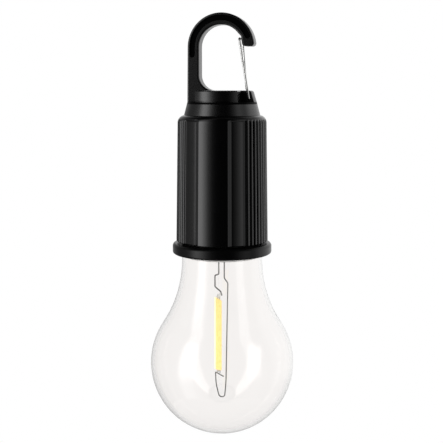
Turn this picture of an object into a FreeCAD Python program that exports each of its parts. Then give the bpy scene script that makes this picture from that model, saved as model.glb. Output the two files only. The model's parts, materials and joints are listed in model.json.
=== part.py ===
import FreeCAD, Part
import math
import os

os.makedirs("parts", exist_ok=True)
V = FreeCAD.Vector

# Camping lantern: a bulb-shaped lamp hung from a sprung hook and run from three AAA cells.
# Millimetres. Origin at the centre of the hook's eye, +Z up, hook in the XZ plane, gate at +X.

# Tolerance for picking an edge by its place, and how far a cut runs past a face
pick = 0.01
overcut = 1.0

# Hook
hook_inner_radius = 7.9
hook_band = 4.2
hook_depth = 5.6
hook_edge_round = 0.6
eye_height = 15.25
post_lean = 0.2
foot_fillet = 5.5
tip_rise = 0.3
tip_seat_angle = 37.5
tip_seat_height = 3.8
tip_seat_inset = 0.65
tip_toe_offset = -0.05
tip_round = 1.1
channel_rim = 0.75
channel_width = 2.0
channel_depth = 0.6
channel_drop = 2.6
channel_tip_angle = 22.0

# Cap under the hook
band_lip = 0.3
band_half_width = 7.65
band_height = 4.05
band_edge_round = 0.5
seam_width = 0.7
seam_depth = 0.7
cone_top_radius = 12.5
cone_bottom_radius = 13.75
cone_height = 4.7
lug_slope = 0.3
lug_round = 1.0
cap_plate = 1.6
cap_wall = 1.7
ledge_thickness = 1.4
well_half_width = 5.0

# Gate wire
gate_wire_radius = 0.4
gate_hole_clearance = 0.08
gate_side_gap = 0.15
gate_seat_gap = 0.2
gate_bar_height = 2.95
gate_pivot_wall = 1.3
gate_pivot_drop = 2.95
gate_pin_end = 0.7
gate_pin_bend = 0.6
gate_top_bend = 1.0
gate_crank_bend = 1.2
gate_crank_rise = 3.7
gate_crank_offset = 2.1
gate_relief_length = 1.35

# Button and switch
button_offset = 1.6
button_radius = 3.2
button_flange = 0.7
button_flange_thickness = 1.0
button_edge_round = 0.4
button_gap = 0.15
button_lift_gap = 0.05
button_travel = 0.8
switch_side = 6.0
switch_height = 3.1
plunger_radius = 1.6
plunger_depth = 0.5
resistor_length = 2.0
resistor_width = 1.25
resistor_height = 0.6
resistor_gap = 2.0
resistor_pitch = 2.5
resistor_count = 2

# Boards, cap screws and cap seal
board_thickness = 1.2
board_gap = 0.2
boss_inset = 1.95
boss_radius = 2.4
screw_radius = 0.95
screw_fit = 0.05
screw_head_radius = 1.8
screw_head_height = 1.1
screw_bite = 2.5
screw_slot_width = 0.5
screw_slot_depth = 0.5
ear_radius = 2.6
cap_seal_section = 0.42
cap_seal_inset = 1.2
seal_fit = 0.06

# Ribbed housing
housing_taper = 0.75
mouth_wall = 1.2
shoulder_height = 4.3
shoulder_overshoot = 0.2
recess_depth = 0.7
panel_half_angle = 19.0
panel_bevel_end = 23.5
recess_end = 39.5
recess_bevel_end = 43.0
rib_count = 15
rib_depth = 0.5
bore_gap = 0.2
ring_thickness = 1.3
ring_radius = 10.6

# Cells, cradle and contacts
cell_angles = (90.0, 210.0, 330.0)
gap_angles = (30.0, 150.0, 270.0)
cell_radius = 5.2
cell_length = 44.5
cell_gap = 1.0
nub_radius = 1.9
nub_height = 0.9
cell_fit = 0.25
cradle_wall = 0.95
cradle_top_gap = 2.1
cradle_bottom_gap = 0.8
contact_height = 1.75
contact_thickness = 0.3
contact_width = 3.0
contact_length = 5.2
contact_touch = 0.05
leaf_crest = 0.6
leaf_fold = 0.45
leaf_tail = 1.2
rod_radius = 0.6
rod_fit = 0.15
disc_thickness = 1.0
disc_gap = 0.3
cup_height = 1.4
cup_wall = 0.5
cup_inset = 1.0

# Bulb collar and its thread
collar_gap = 0.65
collar_lip = 1.35
collar_height = 3.9
collar_top_round = 1.2
collar_bottom_round = 0.8
collar_web = 1.4
spigot_cell_gap = 0.35
spigot_wall = 1.5
spigot_lead = 0.45
spigot_top_gap = 0.8
thread_pitch = 3.0
thread_turns = 1.5
thread_height = 0.75
thread_base = 1.3
thread_crest = 0.6
thread_radial_gap = 0.25
thread_axial_step = 1.0
thread_root = 0.2
thread_start = 2.6
collar_seal_fit = 0.12

# Globe
neck_tube_gap = 0.3
globe_radius = 26.55
globe_drop = 41.3
neck_straight = 2.4
globe_wall = 1.3
neck_fit = 0.1
gasket_thickness = 0.5

# Filament and its base
base_tube_wall = 0.8
base_fit = 0.1
base_thickness = 1.2
base_ring_height = 1.1
base_ring_wall = 1.0
lamp_board_thickness = 0.8
lamp_board_fit = 0.2
lamp_contact_gap = 0.45
lead_radius = 0.25
lead_fit = 0.05
lead_bend = 0.5
left_lead_x = -1.25
right_lead_x = 0.82
jog_x = -2.7
jog_drop = 8.2
jog_length = 4.8
left_rise = 1.8
right_shift_drop = 9.6
right_shift = 1.35
right_shift_height = 1.8
strip_width = 2.4
strip_depth = 1.5
strip_length = 28.4
strip_turn = 28.0
strip_x = -1.38
strip_drop = 16.6
core_width = 1.2
core_depth = 0.4
core_fit = 0.02
strip_edge_round = 0.35
tab_inner = 0.5
tab_reach = 0.78
tab_length = 0.9
tab_thickness = 0.3
core_overhang = 0.6
lead_side = 1.28
lead_approach = 0.4
lead_end_rise = 0.3
loop_drop = 10.0
loop_centre_x = -0.2
loop_half_width = 0.7
loop_bend = 0.65
loop_top_drop = 3.6
loop_left_x = -2.53
hook_top_drop = 0.7
hook_end_drop = 2.3
hook_end_reach = 2.0

# Heights and radii that follow from the sizes above
hook_outer_radius = hook_inner_radius + hook_band
half_depth = hook_depth / 2
band_radius = cone_top_radius + band_lip
cap_top = -eye_height
plate_bottom = cap_top - cap_plate
ledge_z = cap_top - band_height
cap_bottom = ledge_z - cone_height
lower_cavity_top = ledge_z - ledge_thickness
lower_cavity_radius = (cone_top_radius + cone_bottom_radius) / 2 - cap_wall
boss_circle = lower_cavity_radius - boss_inset
cap_seal_circle = cone_bottom_radius - cap_seal_inset
lug_top_radius = cone_top_radius - lug_slope * band_height

board_top = cap_bottom + board_thickness
switch_top = board_top + switch_height
button_flange_top = plate_bottom - button_lift_gap
button_bottom = button_flange_top - button_flange_thickness
well_radius = button_radius + button_flange + 2 * button_gap

seat_x = hook_inner_radius - tip_seat_inset
toe_x = hook_inner_radius + tip_toe_offset
gate_leg_y = half_depth + gate_side_gap + gate_wire_radius
gate_hole_radius = gate_wire_radius + gate_hole_clearance
pivot_z = cap_top - gate_pivot_drop
pivot_x = cone_top_radius - lug_slope * (pivot_z - ledge_z) - gate_pivot_wall - gate_hole_radius
seat_slope = (toe_x - seat_x) / (tip_seat_height - tip_rise)
bar_seat_x = seat_x + seat_slope * (tip_seat_height - gate_bar_height)
bar_x = bar_seat_x - gate_wire_radius - gate_seat_gap

ring_bottom = cap_bottom - ring_thickness
cell_circle = (2 * cell_radius + cell_gap) / math.sqrt(3)
cell_reach = cell_circle + cell_radius + cell_fit
bore_radius = cell_reach + cradle_wall + bore_gap
cell_top = cap_bottom - contact_height
cell_bottom = cell_top - cell_length
disc_top = cell_bottom - contact_height
disc_bottom = disc_top - disc_thickness
lamp_board_top = disc_bottom - lamp_contact_gap
base_top = lamp_board_top - lamp_board_thickness
base_bottom = base_top - base_thickness

collar_bottom = base_top
collar_top = collar_bottom + collar_height
housing_bottom = collar_top + collar_gap
spigot_inner_radius = cell_reach + spigot_cell_gap
spigot_radius = spigot_inner_radius + spigot_wall
disc_radius = spigot_inner_radius - disc_gap
mouth_radius = spigot_radius + thread_height + thread_radial_gap
housing_bottom_radius = mouth_radius + mouth_wall + recess_depth
housing_top_radius = housing_bottom_radius - housing_taper
collar_radius = housing_bottom_radius + collar_lip
thread_length = thread_pitch * thread_turns
spigot_top = housing_bottom + thread_start + thread_length + thread_base / 2 + spigot_lead
web_bottom = collar_top - collar_web
neck_top = web_bottom - gasket_thickness
base_tube_radius = spigot_inner_radius + base_tube_wall
neck_inner_radius = base_tube_radius + neck_tube_gap
neck_radius = neck_inner_radius + globe_wall
globe_centre = collar_bottom - globe_drop
base_ring_radius = spigot_inner_radius - base_fit
strip_top = base_top - strip_drop
strip_bottom = strip_top - strip_length


def polar(radius, degrees, z=0.0):
    angle = math.radians(degrees)
    return V(radius * math.cos(angle), radius * math.sin(angle), z)


def cylinder(radius, z_low, z_high, x=0.0, y=0.0):
    return Part.makeCylinder(radius, z_high - z_low, V(x, y, z_low))


def ring(outer, inner, z_low, z_high):
    return cylinder(outer, z_low, z_high).cut(cylinder(inner, z_low, z_high))


def block(x_low, x_high, y_low, y_high, z_low, z_high):
    return Part.makeBox(x_high - x_low, y_high - y_low, z_high - z_low, V(x_low, y_low, z_low))


def polygon_face(points):
    return Part.Face(Part.makePolygon(list(points) + [points[0]]))


def turned(outline):
    # A solid of revolution about Z from an outline of (radius, height) points.
    face = polygon_face([V(radius, 0, z) for radius, z in outline])
    return face.revolve(V(0, 0, 0), V(0, 0, 1), 360)


def rounded_path(points, radii):
    # Straight runs joined by tangent arcs, one radius for each inner point.
    edges = []
    start = points[0]
    for before, corner, after, radius in zip(points, points[1:], points[2:], radii):
        into = (corner - before).normalize()
        out = (after - corner).normalize()
        turn = into.getAngle(out)
        reach = radius * math.tan(turn / 2)
        arc_start = corner - into * reach
        arc_end = corner + out * reach
        bisector = (out - into).normalize()
        arc_middle = corner + bisector * (radius / math.cos(turn / 2) - radius)
        edges.append(Part.LineSegment(start, arc_start).toShape())
        edges.append(Part.Arc(arc_start, arc_middle, arc_end).toShape())
        start = arc_end
    edges.append(Part.LineSegment(start, points[-1]).toShape())
    return Part.Wire(edges)


def wire_along(path, radius):
    first = path.Edges[0]
    start = first.Vertexes[0].Point
    direction = first.tangentAt(first.FirstParameter)
    profile = Part.Wire(Part.makeCircle(radius, start, direction))
    return path.makePipeShell([profile], True, False)


def edges_where(shape, test):
    return [edge for edge in shape.Edges if test(edge)]


# Hook outline in the XZ plane, from the foot over the eye to the tip
def hook_outline():
    seat_start = polar(hook_inner_radius, tip_seat_angle)
    points = {
        "foot": V(-hook_outer_radius - post_lean, 0, ledge_z),
        "post": V(-hook_outer_radius, 0, 0),
        "crown": V(0, 0, hook_outer_radius),
        "tip": V(math.sqrt(hook_outer_radius ** 2 - tip_rise ** 2), 0, tip_rise),
        "toe": V(toe_x, 0, tip_rise),
        "seat": V(seat_x, 0, tip_seat_height),
        "arch_end": V(seat_start.x, 0, seat_start.y),
        "arch": V(0, 0, hook_inner_radius),
        "post_in": V(-hook_inner_radius, 0, 0),
        "fillet_top": V(-hook_inner_radius, 0, cap_top + foot_fillet),
        "fillet_end": V(foot_fillet - hook_inner_radius, 0, cap_top),
        "foot_in": V(foot_fillet - hook_inner_radius, 0, ledge_z),
    }
    bulge = foot_fillet * (1 - math.sqrt(0.5))
    fillet_middle = V(bulge - hook_inner_radius, 0, cap_top + bulge)
    edges = [
        Part.LineSegment(points["foot"], points["post"]).toShape(),
        Part.Arc(points["post"], points["crown"], points["tip"]).toShape(),
        Part.LineSegment(points["tip"], points["toe"]).toShape(),
        Part.LineSegment(points["toe"], points["seat"]).toShape(),
        Part.LineSegment(points["seat"], points["arch_end"]).toShape(),
        Part.Arc(points["arch_end"], points["arch"], points["post_in"]).toShape(),
        Part.LineSegment(points["post_in"], points["fillet_top"]).toShape(),
        Part.Arc(points["fillet_top"], fillet_middle, points["fillet_end"]).toShape(),
        Part.LineSegment(points["fillet_end"], points["foot_in"]).toShape(),
        Part.LineSegment(points["foot_in"], points["foot"]).toShape(),
    ]
    return Part.Wire(edges)


def hook():
    face = Part.Face(hook_outline())
    body = face.extrude(V(0, hook_depth, 0))
    body.translate(V(0, -half_depth, 0))

    def tip_corner(edge):
        middle = edge.CenterOfMass
        along_depth = edge.BoundBox.YLength > 0.5 * hook_depth
        return along_depth and abs(middle.z - tip_rise) < pick and middle.x > 0

    body = body.makeFillet(tip_round, edges_where(body, tip_corner))

    def outline_edge(edge):
        flat = edge.BoundBox.YLength < pick
        on_face = abs(abs(edge.CenterOfMass.y) - half_depth) < pick
        above_cap = edge.BoundBox.ZMax > cap_top + pick
        return flat and on_face and above_cap

    return body.makeFillet(hook_edge_round, edges_where(body, outline_edge))


def hook_channel(side):
    # A shallow round-ended channel that follows the hook's outer edge on one face.
    outer = hook_outer_radius - channel_rim
    inner = outer - channel_width
    middle = (outer + inner) / 2
    y_low = min(side * half_depth, side * (half_depth - channel_depth))

    def at(radius, degrees):
        spot = polar(radius, degrees)
        return V(spot.x, 0, spot.y)

    apex_angle = (180 + channel_tip_angle) / 2
    end_round = channel_width / 2
    outer_low = V(-outer, 0, -channel_drop)
    inner_low = V(-inner, 0, -channel_drop)
    outer_tip = at(outer, channel_tip_angle)
    inner_tip = at(inner, channel_tip_angle)
    tip_end = at(middle, channel_tip_angle) + at(end_round, channel_tip_angle - 90)
    low_end = V(-middle, 0, -channel_drop - end_round)
    edges = [
        Part.LineSegment(outer_low, at(outer, 180)).toShape(),
        Part.Arc(at(outer, 180), at(outer, apex_angle), outer_tip).toShape(),
        Part.Arc(outer_tip, tip_end, inner_tip).toShape(),
        Part.Arc(inner_tip, at(inner, apex_angle), at(inner, 180)).toShape(),
        Part.LineSegment(at(inner, 180), inner_low).toShape(),
        Part.Arc(inner_low, low_end, outer_low).toShape(),
    ]
    cut = Part.Face(Part.Wire(edges)).extrude(V(0, channel_depth, 0))
    cut.translate(V(0, y_low, 0))
    return cut


def cap_lug():
    cone = Part.makeCone(cone_top_radius, lug_top_radius, band_height, V(0, 0, ledge_z))
    lug = cone.common(block(0, band_radius, -half_depth, half_depth, ledge_z, cap_top))

    def outer_top(edge):
        return abs(edge.CenterOfMass.z - cap_top) < pick and isinstance(edge.Curve, Part.Circle)

    return lug.makeFillet(lug_round, edges_where(lug, outer_top))


def hook_cap():
    sides = block(-band_half_width, band_half_width, -band_radius, band_radius, ledge_z, cap_top)
    band = cylinder(band_radius, ledge_z, cap_top).common(sides)

    def band_top(edge):
        return abs(edge.CenterOfMass.z - cap_top) < pick and edge.BoundBox.ZLength < pick

    band = band.makeFillet(band_edge_round, edges_where(band, band_top))
    seam_root = band_radius - seam_depth
    seam = turned([(band_radius + overcut, ledge_z), (band_radius + overcut, ledge_z + seam_width),
                   (seam_root, ledge_z + seam_width / 2), (seam_root, ledge_z)])
    band = band.cut(seam)
    skirt = Part.makeCone(cone_bottom_radius, cone_top_radius, cone_height, V(0, 0, cap_bottom))
    body = band.fuse([skirt, cap_lug(), hook()])

    well = cylinder(cone_top_radius - cap_wall, lower_cavity_top, plate_bottom)
    well = well.common(block(-well_half_width, well_half_width, -band_radius, band_radius,
                             lower_cavity_top, plate_bottom))
    button_well = cylinder(well_radius, lower_cavity_top, plate_bottom, button_offset)
    lower = cylinder(lower_cavity_radius, cap_bottom, lower_cavity_top)
    button_hole = cylinder(button_radius + button_gap, plate_bottom, cap_top, button_offset)
    body = body.cut([well, button_well, lower, button_hole])

    bosses = []
    pilots = []
    pilot_radius = screw_radius + screw_fit
    for angle in gap_angles:
        spot = polar(boss_circle, angle)
        boss = cylinder(boss_radius, board_top, ledge_z, spot.x, spot.y)
        bosses.append(boss.common(skirt))
        pilots.append(cylinder(pilot_radius, board_top, board_top + screw_bite, spot.x, spot.y))
    body = body.fuse(bosses).cut(pilots)

    relief_low = band_half_width - gate_relief_length
    relief_outer = gate_leg_y + gate_wire_radius + gate_side_gap
    for side in (-1, 1):
        y_low, y_high = sorted((side * half_depth, side * relief_outer))
        body = body.cut(block(relief_low, band_radius, y_low, y_high, plate_bottom, cap_top))
        body = body.cut(hook_channel(side))
    hole_start = V(pivot_x, -half_depth, pivot_z)
    hole = Part.makeCylinder(gate_hole_radius, hook_depth, hole_start, V(0, 1, 0))
    return body.cut(hole).removeSplitter()


def gate_wire():
    # The front leg is straight. The rear leg stands inboard and cranks out to the same pivot line.
    crank = V(pivot_x - gate_crank_offset, gate_leg_y, pivot_z + gate_crank_rise)
    points = [
        V(pivot_x, -gate_pin_end, pivot_z),
        V(pivot_x, -gate_leg_y, pivot_z),
        V(bar_x, -gate_leg_y, gate_bar_height),
        V(bar_x, gate_leg_y, gate_bar_height),
        crank,
        V(pivot_x, gate_leg_y, pivot_z),
        V(pivot_x, gate_pin_end, pivot_z),
    ]
    bends = [gate_pin_bend, gate_top_bend, gate_top_bend, gate_crank_bend, gate_pin_bend]
    return wire_along(rounded_path(points, bends), gate_wire_radius)


def power_button():
    cap = cylinder(button_radius, button_flange_top, cap_top, button_offset)

    def top_edge(edge):
        return abs(edge.CenterOfMass.z - cap_top) < pick

    cap = cap.makeFillet(button_edge_round, edges_where(cap, top_edge))
    flange = cylinder(button_radius + button_flange, button_bottom, button_flange_top, button_offset)
    return cap.fuse(flange).removeSplitter()


def switch_plunger():
    return cylinder(plunger_radius, switch_top - plunger_depth, button_bottom, button_offset)


def switch_body():
    half = switch_side / 2
    body = block(button_offset - half, button_offset + half, -half, half, board_top, switch_top)
    socket_bottom = switch_top - plunger_depth - button_travel - button_gap
    return body.cut(cylinder(plunger_radius + button_gap, socket_bottom, switch_top, button_offset))


def switch_board():
    board = cylinder(lower_cavity_radius - board_gap, cap_bottom, board_top)
    for angle in gap_angles:
        spot = polar(boss_circle, angle)
        board = board.cut(cylinder(screw_radius + screw_fit, cap_bottom, board_top, spot.x, spot.y))
    return board


def series_resistors():
    pieces = []
    row_x = button_offset - switch_side / 2 - resistor_gap - resistor_length
    half = resistor_width / 2
    for index in range(resistor_count):
        y = (index - (resistor_count - 1) / 2) * resistor_pitch
        pieces.append(block(row_x, row_x + resistor_length, y - half, y + half,
                            board_top, board_top + resistor_height))
    return Part.makeCompound(pieces)


def cap_screws():
    pieces = []
    half = screw_slot_width / 2
    head_bottom = ring_bottom - screw_head_height
    for angle in gap_angles:
        spot = polar(boss_circle, angle)
        shank = cylinder(screw_radius, ring_bottom, board_top + screw_bite - screw_fit, spot.x, spot.y)
        head = cylinder(screw_head_radius, head_bottom, ring_bottom, spot.x, spot.y)
        slot = block(spot.x - screw_head_radius, spot.x + screw_head_radius, spot.y - half,
                     spot.y + half, head_bottom, head_bottom + screw_slot_depth)
        pieces.append(shank.fuse(head).cut(slot).removeSplitter())
    return Part.makeCompound(pieces)


def cap_seal():
    middle = V(0, 0, cap_bottom - cap_seal_section - seal_fit)
    return Part.makeTorus(cap_seal_circle, cap_seal_section, middle)


# One ribbed section of the housing: a smooth raised panel front and back, a recess on each side
# of it, and a field of round ribs round each flank.
def ribbed_section(radius, z):
    floor = radius - recess_depth
    valley = radius - rib_depth
    rib_span = (180 - 2 * recess_bevel_end) / rib_count
    edges = []
    for front in (270, 90):

        def at(distance, turn, front=front):
            return polar(distance, front + turn, z)

        def arc(distance, start, end, at=at):
            middle = at(distance, (start + end) / 2)
            edges.append(Part.Arc(at(distance, start), middle, at(distance, end)).toShape())

        def line(start, end):
            edges.append(Part.LineSegment(start, end).toShape())

        arc(radius, -panel_half_angle, panel_half_angle)
        line(at(radius, panel_half_angle), at(floor, panel_bevel_end))
        arc(floor, panel_bevel_end, recess_end)
        line(at(floor, recess_end), at(valley, recess_bevel_end))
        for index in range(rib_count):
            start = recess_bevel_end + index * rib_span
            middle = at(radius, start + rib_span / 2)
            edges.append(Part.Arc(at(valley, start), middle, at(valley, start + rib_span)).toShape())
        line(at(valley, 180 - recess_bevel_end), at(floor, 180 - recess_end))
        arc(floor, 180 - recess_end, 180 - panel_bevel_end)
        line(at(floor, 180 - panel_bevel_end), at(radius, 180 - panel_half_angle))
    return Part.Wire(edges)


def shoulder_dome():
    # Round shoulder from the cap's skirt out past the ribs, then straight down.
    widest = housing_top_radius + shoulder_overshoot
    rise = widest - cone_bottom_radius
    arc_radius = (rise ** 2 + shoulder_height ** 2) / (2 * rise)
    low = cap_bottom - shoulder_height
    half_turn = math.asin(shoulder_height / arc_radius) / 2
    middle = V(widest - arc_radius * (1 - math.cos(half_turn)), 0, low + arc_radius * math.sin(half_turn))
    skirt_radius = housing_bottom_radius + shoulder_overshoot
    edges = [
        Part.LineSegment(V(0, 0, cap_bottom), V(cone_bottom_radius, 0, cap_bottom)).toShape(),
        Part.Arc(V(cone_bottom_radius, 0, cap_bottom), middle, V(widest, 0, low)).toShape(),
        Part.LineSegment(V(widest, 0, low), V(skirt_radius, 0, housing_bottom)).toShape(),
        Part.LineSegment(V(skirt_radius, 0, housing_bottom), V(0, 0, housing_bottom)).toShape(),
        Part.LineSegment(V(0, 0, housing_bottom), V(0, 0, cap_bottom)).toShape(),
    ]
    return Part.Face(Part.Wire(edges)).revolve(V(0, 0, 0), V(0, 0, 1), 360)


def thread_ridge(inner_edge, direction, z_start):
    # A trapezoid ridge on a helix. The root is sunk a little into the wall that carries it.
    root = inner_edge - direction * thread_root
    crest = inner_edge + direction * thread_height
    half_base = thread_base / 2
    half_crest = thread_crest / 2
    helix = Part.makeHelix(thread_pitch, thread_length, inner_edge)
    profile = Part.makePolygon([
        V(root, 0, -half_base), V(inner_edge, 0, -half_base), V(crest, 0, -half_crest),
        V(crest, 0, half_crest), V(inner_edge, 0, half_base), V(root, 0, half_base),
        V(root, 0, -half_base),
    ])
    ridge = helix.makePipeShell([profile], True, True)
    ridge.translate(V(0, 0, z_start))
    return ridge


def battery_housing():
    top = ribbed_section(housing_top_radius, cap_bottom)
    bottom = ribbed_section(housing_bottom_radius, housing_bottom)
    body = Part.makeLoft([top, bottom], True, True).common(shoulder_dome())
    thread_top = spigot_top + spigot_top_gap
    bore = cylinder(bore_radius, thread_top, ring_bottom)
    mouth = cylinder(mouth_radius, housing_bottom, thread_top)
    opening = cylinder(ring_radius, ring_bottom, cap_bottom)
    holes = []
    for angle in gap_angles:
        spot = polar(boss_circle, angle)
        opening = opening.cut(cylinder(ear_radius, ring_bottom, cap_bottom, spot.x, spot.y))
        holes.append(cylinder(screw_radius + screw_fit, ring_bottom, cap_bottom, spot.x, spot.y))
    groove_half = cap_seal_section + seal_fit
    groove = ring(cap_seal_circle + groove_half, cap_seal_circle - groove_half,
                  cap_bottom - 2 * groove_half, cap_bottom)
    body = body.cut([bore, mouth, opening, groove] + holes)
    ridge = thread_ridge(mouth_radius, -1, housing_bottom + thread_start - thread_axial_step)
    return body.fuse(ridge)


def cell(angle, sign):
    # One AAA cell, its positive end up for a sign of 1 and down for -1.
    spot = polar(cell_circle, angle)
    if sign > 0:
        can = cylinder(cell_radius, cell_bottom, cell_top - nub_height, spot.x, spot.y)
        nub = cylinder(nub_radius, cell_top - nub_height, cell_top, spot.x, spot.y)
    else:
        can = cylinder(cell_radius, cell_bottom + nub_height, cell_top, spot.x, spot.y)
        nub = cylinder(nub_radius, cell_bottom, cell_bottom + nub_height, spot.x, spot.y)
    return can.fuse(nub).removeSplitter()


def cell_cradle():
    low = spigot_top + cradle_bottom_gap
    high = cell_top - cradle_top_gap
    barrels = []
    bores = []
    for angle in cell_angles:
        spot = polar(cell_circle, angle)
        barrels.append(cylinder(cell_radius + cell_fit + cradle_wall, low, high, spot.x, spot.y))
        bores.append(cylinder(cell_radius + cell_fit, low, high, spot.x, spot.y))
    core = cylinder(cell_circle - cell_radius + cradle_wall, low, high)
    body = core.fuse(barrels).cut(bores)
    return body.cut(cylinder(rod_radius + rod_fit, low, high)).removeSplitter()


def drive_rod():
    return cylinder(rod_radius, disc_bottom, cap_bottom)


def leaf(angle, base_z, direction):
    # A folded leaf spring that stands contact_height high, less a touch gap, on its board.
    half = contact_length / 2
    top = contact_height - contact_touch
    sheet = contact_thickness
    outline = [(-half, 0), (half, 0), (half, leaf_fold), (leaf_crest, top), (-leaf_crest, top),
               (-leaf_tail, top - sheet), (-leaf_crest, top - sheet), (sheet, top - sheet),
               (half - leaf_crest, sheet), (-half, sheet)]
    face = polygon_face([V(along, -contact_width / 2, height) for along, height in outline])
    spring = face.extrude(V(0, contact_width, 0))
    if direction < 0:
        spring = spring.mirror(V(0, 0, 0), V(0, 0, 1))
    spring.rotate(V(0, 0, 0), V(0, 0, 1), angle)
    spot = polar(cell_circle, angle, base_z)
    spring.translate(spot)
    return spring


def pip(angle, base_z, direction):
    # A pressed pip that meets a cell's positive nub.
    top = contact_height - contact_touch
    spot = polar(cell_circle, angle)
    levels = sorted((base_z, base_z + direction * contact_thickness))
    plate = cylinder(contact_width, levels[0], levels[1], spot.x, spot.y)
    start = V(spot.x, spot.y, base_z)
    cone = Part.makeCone(nub_radius, nub_radius - contact_thickness, top, start, V(0, 0, direction))
    return plate.fuse(cone)


def link_strip(first, second, base_z, direction):
    start = polar(cell_circle, first, base_z)
    end = polar(cell_circle, second, base_z)
    along = (end - start).normalize()
    across = V(-along.y, along.x, 0) * (contact_width / 2)
    face = polygon_face([start - across, end - across, end + across, start + across])
    return face.extrude(V(0, 0, direction * contact_thickness))


def upper_contact():
    return pip(cell_angles[0], cap_bottom, -1).removeSplitter()


def upper_link():
    second, third = cell_angles[1], cell_angles[2]
    strip = link_strip(second, third, cap_bottom, -1)
    return strip.fuse([leaf(second, cap_bottom, -1), pip(third, cap_bottom, -1)]).removeSplitter()


def lower_link():
    first, second = cell_angles[0], cell_angles[1]
    strip = link_strip(first, second, disc_top, 1)
    return strip.fuse([leaf(first, disc_top, 1), pip(second, disc_top, 1)]).removeSplitter()


def lower_contact():
    return leaf(cell_angles[2], disc_top, 1)


def contact_disc():
    plate = cylinder(disc_radius, disc_bottom, disc_top)
    cup_top = disc_top + contact_height + cup_height
    cups = []
    hollows = []
    for angle in cell_angles:
        spot = polar(cell_circle, angle)
        cups.append(cylinder(cell_radius + cell_fit + cup_wall, disc_top, cup_top, spot.x, spot.y))
        hollows.append(cylinder(cell_radius + cell_fit, disc_top, cup_top, spot.x, spot.y))
    walls = cups[0].fuse(cups[1:]).common(cylinder(disc_radius - cup_inset, disc_top, cup_top))
    walls = walls.cut(hollows)
    gate = link_channel(cell_angles[0], cell_angles[1])
    body = plate.fuse(walls.cut(gate))
    return body.cut(cylinder(rod_radius + rod_fit, disc_bottom, cup_top)).removeSplitter()


def link_channel(first, second):
    # Room in the cup walls for the flat link between two contacts.
    start = polar(cell_circle, first, disc_top)
    end = polar(cell_circle, second, disc_top)
    along = (end - start).normalize()
    across = V(-along.y, along.x, 0) * (contact_width / 2 + cell_fit)
    face = polygon_face([start - across, end - across, end + across, start + across])
    return face.extrude(V(0, 0, contact_thickness + cell_fit))


def bulb_collar():
    flange = turned([(spigot_inner_radius, web_bottom), (spigot_inner_radius, collar_top),
                     (collar_radius, collar_top), (collar_radius, collar_bottom),
                     (neck_radius + neck_fit, collar_bottom), (neck_radius + neck_fit, web_bottom)])

    def outer_edge(edge, z):
        level = abs(edge.BoundBox.ZMax - z) < pick and edge.BoundBox.ZLength < pick
        return level and abs(edge.BoundBox.XMax - collar_radius) < pick

    top_edges = edges_where(flange, lambda edge: outer_edge(edge, collar_top))
    flange = flange.makeFillet(collar_top_round, top_edges)
    bottom_edges = edges_where(flange, lambda edge: outer_edge(edge, collar_bottom))
    flange = flange.makeFillet(collar_bottom_round, bottom_edges)
    spigot = ring(spigot_radius, spigot_inner_radius, collar_top, spigot_top)
    tube = ring(base_tube_radius, spigot_inner_radius, base_top + base_fit, web_bottom)
    ridge = thread_ridge(spigot_radius, 1, housing_bottom + thread_start)
    return flange.fuse([spigot, tube, ridge]).removeSplitter()


def collar_seal():
    section = (mouth_radius - spigot_radius) / 2 - collar_seal_fit
    circle = (mouth_radius + spigot_radius) / 2
    return Part.makeTorus(circle, section, V(0, 0, collar_top + section + collar_seal_fit))


def globe_profile(offset):
    # Half outline of the globe, moved inwards by offset: neck, flare and round end.
    neck = neck_radius - offset
    ball = globe_radius - offset
    flare_z = collar_bottom - neck_straight
    drop = flare_z - globe_centre
    flare = (neck_radius ** 2 + drop ** 2 - globe_radius ** 2) / (2 * (globe_radius - neck_radius))
    lean = math.atan2(drop, neck_radius + flare)
    meet_angle = math.degrees(lean)
    meet = V(ball * math.cos(lean), 0, globe_centre + ball * math.sin(lean))
    ball_middle = polar(ball, (meet_angle - 90) / 2)
    flare_centre = V(neck_radius + flare, 0, flare_z)
    flare_reach = flare + offset
    flare_middle = flare_centre - V(math.cos(lean / 2), 0, math.sin(lean / 2)) * flare_reach
    start = V(neck, 0, neck_top)
    flare_start = V(neck, 0, flare_z)
    bottom = V(0, 0, globe_centre - ball)
    return [
        Part.LineSegment(start, flare_start).toShape(),
        Part.Arc(flare_start, flare_middle, meet).toShape(),
        Part.Arc(meet, V(ball_middle.x, 0, globe_centre + ball_middle.y), bottom).toShape(),
    ]


def bulb_globe():
    outer = globe_profile(0.0)
    inner = globe_profile(globe_wall)
    outer_bottom = V(0, 0, globe_centre - globe_radius)
    inner_bottom = V(0, 0, globe_centre - globe_radius + globe_wall)
    joins = [
        Part.LineSegment(outer_bottom, inner_bottom).toShape(),
        Part.LineSegment(V(neck_inner_radius, 0, neck_top), V(neck_radius, 0, neck_top)).toShape(),
    ]
    outline = Part.Wire(Part.__sortEdges__(outer + inner + joins))
    return Part.Face(outline).revolve(V(0, 0, 0), V(0, 0, 1), 360)


def globe_gasket():
    return ring(neck_radius, neck_inner_radius, neck_top, web_bottom)


def lead_holes(z_low, z_high):
    return [cylinder(lead_radius + lead_fit, z_low, z_high, x) for x in (left_lead_x, right_lead_x)]


def filament_base():
    plate = cylinder(base_tube_radius, base_bottom, base_top)
    rim = ring(base_ring_radius, base_ring_radius - base_ring_wall, base_top, base_top + base_ring_height)
    return plate.fuse(rim).cut(lead_holes(base_bottom, base_top)).removeSplitter()


def lamp_board():
    board = cylinder(base_ring_radius - base_ring_wall - lamp_board_fit, base_top, lamp_board_top)
    return board.cut(lead_holes(base_top, lamp_board_top))


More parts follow.
